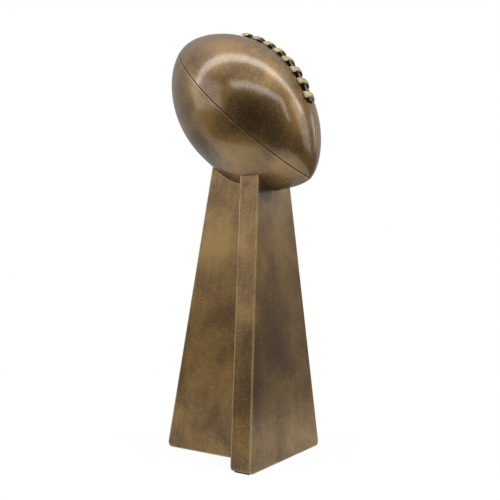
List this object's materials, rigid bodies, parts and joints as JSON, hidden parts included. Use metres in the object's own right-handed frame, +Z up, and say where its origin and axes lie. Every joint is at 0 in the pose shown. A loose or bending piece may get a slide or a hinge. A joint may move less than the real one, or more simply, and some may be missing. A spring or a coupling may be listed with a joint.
{
  "type": "football tower trophy",
  "caption": "Football set at a kicking angle on a tall tapered tower, T-shaped in plan, in aged bronze resin, with laces and felt base.",
  "frame": {"origin": "on the surface the trophy stands on, straight below the ball's centre, which is the centre of the bounding box's bottom face", "axes": "+Z up; -Y the front, where the tower's wide slab faces and the ball's lower end leans over; X across, the trophy being symmetric about X = 0"},
  "size_m": [0.1074, 0.137, 0.356],
  "materials": {
    "ball_bronze": "gloss",
    "tower_bronze": "satin",
    "lace_bronze": "satin",
    "zinc_steel": "satin",
    "ballast_iron": "matte",
    "dowel_wood": "matte",
    "hardboard": "matte",
    "felt": "matte"
  },
  "bodies": {
    "root": {"football_upper_shell": "ball_bronze", "football_lower_shell": "ball_bronze", "lace_cord": "lace_bronze", "lace_cross_1": "lace_bronze", "lace_cross_2": "lace_bronze", "lace_cross_3": "lace_bronze", "lace_cross_4": "lace_bronze", "lace_cross_5": "lace_bronze", "lace_cross_6": "lace_bronze", "lace_cross_7": "lace_bronze", "lace_cross_8": "lace_bronze", "tower_front_slab": "tower_bronze", "tower_rear_stem": "tower_bronze", "slab_dowel_lower": "dowel_wood", "slab_dowel_upper": "dowel_wood", "mounting_stud": "zinc_steel", "stud_washer_upper": "zinc_steel", "stud_nut_upper": "zinc_steel", "stud_washer_lower": "zinc_steel", "stud_nut_lower": "zinc_steel", "base_screw_1": "zinc_steel", "base_screw_2": "zinc_steel", "base_screw_3": "zinc_steel", "base_screw_4": "zinc_steel", "front_ballast_bar": "ballast_iron", "rear_ballast_block": "ballast_iron", "base_plate": "hardboard", "felt_pad": "felt"}
  },
  "joints": []
}
